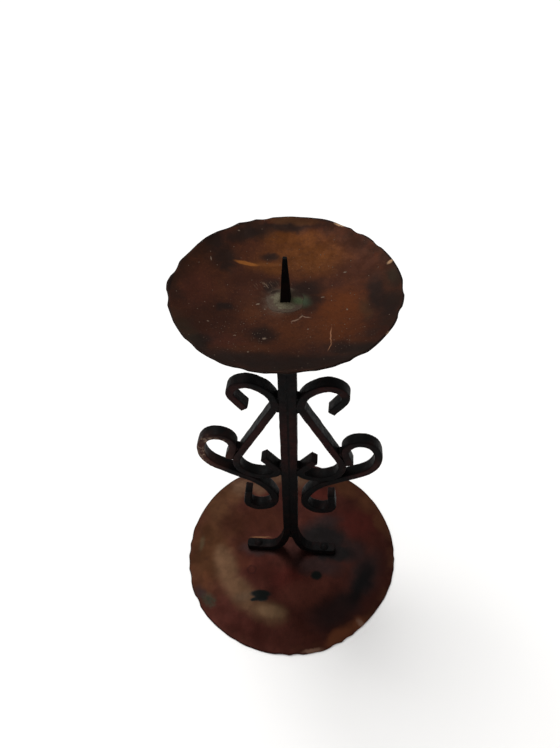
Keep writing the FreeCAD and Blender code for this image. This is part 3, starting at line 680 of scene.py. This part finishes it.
    # painted highlights: two pale spots on the rim's edge
    painted_rim_highlights = f.blotches([((64, -64), (4.5, 2.4), -45), ((24, -89.5), (8, 1.6), 12)], 0.6, tight)
    colour = f.paint(colour, [
        (painted_shade, 0.85, (0.0128, 0.0078, 0.0076)),
        (painted_shade_between_feet, 0.5, (0.0115, 0.0064, 0.0062)),
        (painted_deep_shade, 0.95, (0.0052, 0.0049, 0.0050)),
        (rim_glow, f.ramp(on_right, 0.0, 1.0, 0.1, 0.9), (0.040, 0.0155, 0.0088)),
        (orange, f.ramp(on_right, 0.0, 1.0, 0.13, 0.9), (0.082, 0.0270, 0.0125)),
        (painted_rim_highlights, 0.7, (0.150, 0.0850, 0.0580)),
        (smear, 0.4, (0.030, 0.0200, 0.0130)),
        (cup_mark, 0.6, (0.012, 0.0036, 0.0030)),
        (painted_highlight_behind_foot, 0.8, (0.080, 0.0400, 0.0190)),
        (verdigris, 1.0, (0.026, 0.0280, 0.0185)),
        (faint_green, 0.6, (0.026, 0.0190, 0.0105)),
        (blots, 1.0, (0.0050, 0.0060, 0.0055)),
    ])
    dull = f.either(verdigris, blots)
    f.bump((f.noise(5.0, 4.0, 0.6, 0.2, 15), 0.10), (f.noise(0.8, 3.0, 0.6, 0.0, 30), 0.015))
    return f.finish(
        Base_Color=colour,
        Metallic=f.ramp(dull, 0.0, 1.0, 0.6, 0.0),
        Roughness=f.either(f.uneven(14.0, 0.32, 0.46), f.both(dull, 0.75)),
        Specular_IOR_Level=f.ramp(gloss_and_painted_highlight, 0.0, 1.0, 0.01, 0.06),
    )


def forged_iron():
    """Blackened iron with a brown lacquer that shows red-brown where the black wears thin, a painted warm
    reflection on front faces, painted glints on the left loop and painted shade in the stem's seam.
    """
    f = Finish("forged_iron")
    loose = f.wander(9.0, 8.0, 50)
    thin = f.ramp(f.noise(12.0, 4.0, 0.62, 0.5), 0.46, 0.70)
    rust = f.ramp(f.noise(3.4, 5.0, 0.65, 0.2, 20), 0.54, 0.74)
    front = f.facing((0, -1, 0), 0.35, 0.85)
    # stretches of the front faces and outer edges where a warm red-brown reflection is painted
    rubbed_and_sheen = f.blotches([
        ((0, -5, 172), (8, 8, 34), 0), ((24, -5, 178), (18, 7, 30), 0), ((-24, -5, 180), (18, 7, 28), 0),
        ((-34, -5, 224), (12, 8, 14), 0), ((57, -5, 148), (15, 8, 16), 0), ((28, -5, 236), (12, 8, 7), 0),
    ], 0.5, loose)
    painted_front_reflection = f.both(f.both(rubbed_and_sheen, front), f.ramp(f.noise(5.0, 4.0, 0.65, 0.4, 63), 0.34, 0.62, 0.35, 1.0))
    # brown on the left loop, laid on more strongly on its front faces as a painted reflection
    left_loop = f.patch((-58, -5, 158), (15, 8, 20), 0, 0.5, loose)
    # painted highlights: pale specks along the left loop's outer edge
    painted_glints = f.both(
        f.blotches([((-66, -5, 152), (4, 3, 14), 0), ((-56, -5, 174), (9, 3, 4), 0)], 0.5, loose),
        f.ramp(f.noise(2.6, 4.0, 0.7, 0.6, 61), 0.48, 0.60),
    )
    # painted shade: a blacker line down the seam between the two stem bars
    stem_seam_shade = f.patch((0, -5, 160), (0.9, 4, 140), 0, 0.5)
    colour = f.mix(thin, rgb(0.0025, 0.0024, 0.0025), rgb(0.0065, 0.0029, 0.0027))
    colour = f.paint(colour, [
        (rust, 0.4, (0.0115, 0.0043, 0.0035)),
        (painted_front_reflection, 0.85, (0.0200, 0.0056, 0.0048)),
        (left_loop, f.ramp(front, 0.0, 1.0, 0.35, 0.85), (0.0420, 0.0140, 0.0098)),
        (painted_glints, 0.85, (0.2400, 0.1650, 0.1150)),
        (stem_seam_shade, 0.8, (0.0015, 0.0013, 0.0013)),
    ])
    f.bump((f.noise(2.6, 5.0, 0.62, 0.2, 15), 0.16), (f.noise(0.55, 3.0, 0.6, 0.0, 30), 0.04))
    return f.finish(
        Base_Color=colour,
        Metallic=0.0,
        Roughness=f.uneven(4.0, 0.42, 0.62),
        Specular_IOR_Level=0.035,
    )


def crust():
    """Dull olive-grey solder, paler at the front, that runs out into the copper, with green salts."""
    f = Finish("solder_and_salts")
    grain = f.noise(1.1, 5.0, 0.7, 0.3)
    colour = f.mix(f.ramp(grain, 0.36, 0.68), rgb(0.034, 0.0250, 0.0150), rgb(0.072, 0.0580, 0.0370))
    pale = f.blotches([((0, -6.2), (6.5, 3.2), 0), ((-6, 2), (2.6, 6), 0)], 0.6, f.wander(2.0, 2.0, 8))
    ragged = f.ramp(f.noise(2.6, 3.0, 0.6, 0.0, 9), 0.3, 0.7, -2.0, 2.0)
    fringe = f.ramp(f.math("ADD", f.radius(), ragged), 6.2, 9.4)
    shade = f.blotches([((7.5, 6.5), (7.0, 4.6), 15), ((-8, 8), (4, 3), 0)], 0.6, f.wander(2.6, 2.4, 12))
    green = f.patch((7.4, -0.8), (3.4, 2.6), 0, 0.7, f.wander(2.0, 1.6, 4))
    colour = f.paint(colour, [
        (pale, f.ramp(grain, 0.3, 0.6, 0.5, 0.95), (0.115, 0.1000, 0.0660)),
        (fringe, 1.0, (0.064, 0.0440, 0.0320)),
        (shade, 0.9, (0.015, 0.0085, 0.0062)),
        (green, 0.85, (0.044, 0.0620, 0.0290)),
    ])
    f.bump((grain, 0.3), (f.noise(0.5, 3.0, 0.6, 0.0, 30), 0.08))
    return f.finish(
        Base_Color=colour,
        Metallic=0.2,
        Roughness=f.ramp(grain, 0.3, 0.7, 0.75, 0.5),
        Specular_IOR_Level=0.03,
    )


def braze():
    """Dark, slightly yellow braze."""
    f = Finish("dark_braze")
    grain = f.noise(1.5, 4.0, 0.6)
    colour = f.mix(f.ramp(grain, 0.35, 0.65), rgb(0.006, 0.0045, 0.0040), rgb(0.018, 0.010, 0.0050))
    f.bump((grain, 0.2))
    return f.finish(
        Base_Color=colour,
        Metallic=0.5,
        Roughness=f.ramp(grain, 0.3, 0.7, 0.4, 0.6),
        Specular_IOR_Level=0.2,
    )


def floor_finish():
    """A plain pale studio floor with faint clouds."""
    f = Finish("pale_floor")
    colour = f.mix(f.noise(200.0, 2.0), rgb(0.90, 0.90, 0.90), rgb(0.92, 0.92, 0.92))
    return f.finish(Base_Color=colour, Roughness=0.9, Specular_IOR_Level=0.1)


# ---------------------------------------------------------------- the object

SIDES = ("left", "right")
BARS = [f"{bar}_{side}" for bar in ("stem_bar", "upper_scroll", "lower_scroll") for side in SIDES]
WELDS = ("hook_welds", "nose_welds", "loop_welds", "run_welds", "seat_welds")
FITTINGS = ("pricket", "seat_plate")
# these stay the CAD solids themselves and only get their material
FASTENERS = [f"{fastener}_{side}" for fastener in ("foot_rivet", "rivet_rove") for side in SIDES]


def make_object():
    iron = forged_iron()
    copper_dish("base_dish_hammered", "base_dish", BASE_SHAPE).data.materials.append(base_copper())
    copper_dish("tray_dish_hammered", "tray_dish", TRAY_SHAPE).data.materials.append(tray_copper())
    for node in BARS:
        forged(node + "_forged", node, BAR).data.materials.append(iron)
    for node in WELDS:
        forged(node + "_beads", node, WELD_BEAD).data.materials.append(iron)
    for node in FITTINGS:
        forged(node + "_forged", node, FITTING).data.materials.append(iron)
    forged("seam_braze_bead", "seam_braze", BRAZE_BEAD).data.materials.append(braze())
    solder_crust().data.materials.append(crust())
    for node in FASTENERS:
        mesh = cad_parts[node].data
        mesh.materials.clear()
        mesh.materials.append(iron)


# ---------------------------------------------------------------- floor, light and camera

FLOOR_SIDE = 14.0

WORLD_COLOUR, WORLD_STRENGTH = (1.0, 0.99, 0.98, 1.0), 0.50
# each soft light: the direction it comes from, its spread in degrees, its strength and its colour
STUDIO_LIGHTS = {
    "key": ((-0.32, 0.32, 0.89), 40, 2.3, (1.0, 0.99, 0.975)),
    "fill": ((-0.55, -0.60, 0.58), 60, 0.35, (1.0, 0.99, 0.98)),
}

# the camera's place in metres, its heading, the angle it looks down at and its roll in degrees
CAMERA_PLACE = (0.0252, -0.2698, 0.5512)
CAMERA_HEADING, CAMERA_DOWN, CAMERA_ROLL = 6.33, 48.42, -2.07
SENSOR_HEIGHT, FOCAL_LENGTH = 36.0, 30.74


def make_floor():
    bpy.ops.mesh.primitive_plane_add(size=FLOOR_SIDE, location=(0, 0, 0))
    floor = bpy.context.object
    floor.name = "floor"
    floor.data.materials.append(floor_finish())


def add_sun(name, towards_light, spread, strength, colour):
    """A soft light from very far away, as from a large diffuser in this direction."""
    lamp = bpy.data.lights.new(name, "SUN")
    lamp.angle = math.radians(spread)
    lamp.energy = strength
    lamp.color = colour
    sun = bpy.data.objects.new(name, lamp)
    sun.rotation_euler = Vector(towards_light).to_track_quat("Z", "Y").to_euler()
    bpy.context.scene.collection.objects.link(sun)


def make_light():
    world = bpy.data.worlds.new("studio")
    world.use_nodes = True
    background = world.node_tree.nodes["Background"]
    background.inputs["Color"].default_value = WORLD_COLOUR
    background.inputs["Strength"].default_value = WORLD_STRENGTH
    bpy.context.scene.world = world
    for name, settings in STUDIO_LIGHTS.items():
        add_sun(name, *settings)
    bpy.context.scene.view_settings.view_transform = "Standard"


def make_camera():
    """The photograph's view: from the front, a little right, and well above, looking down."""
    lens = bpy.data.cameras.new("camera")
    lens.sensor_fit = "VERTICAL"
    lens.sensor_height = SENSOR_HEIGHT
    lens.lens = FOCAL_LENGTH
    camera = bpy.data.objects.new("camera", lens)
    aim = Euler((math.radians(90 - CAMERA_DOWN), 0, math.radians(CAMERA_HEADING))).to_matrix()
    turn = aim @ Matrix.Rotation(math.radians(CAMERA_ROLL), 3, "Z")
    camera.matrix_world = Matrix.Translation(CAMERA_PLACE) @ turn.to_4x4()
    bpy.context.scene.collection.objects.link(camera)
    bpy.context.scene.camera = camera


make_object()
make_floor()
make_light()
make_camera()
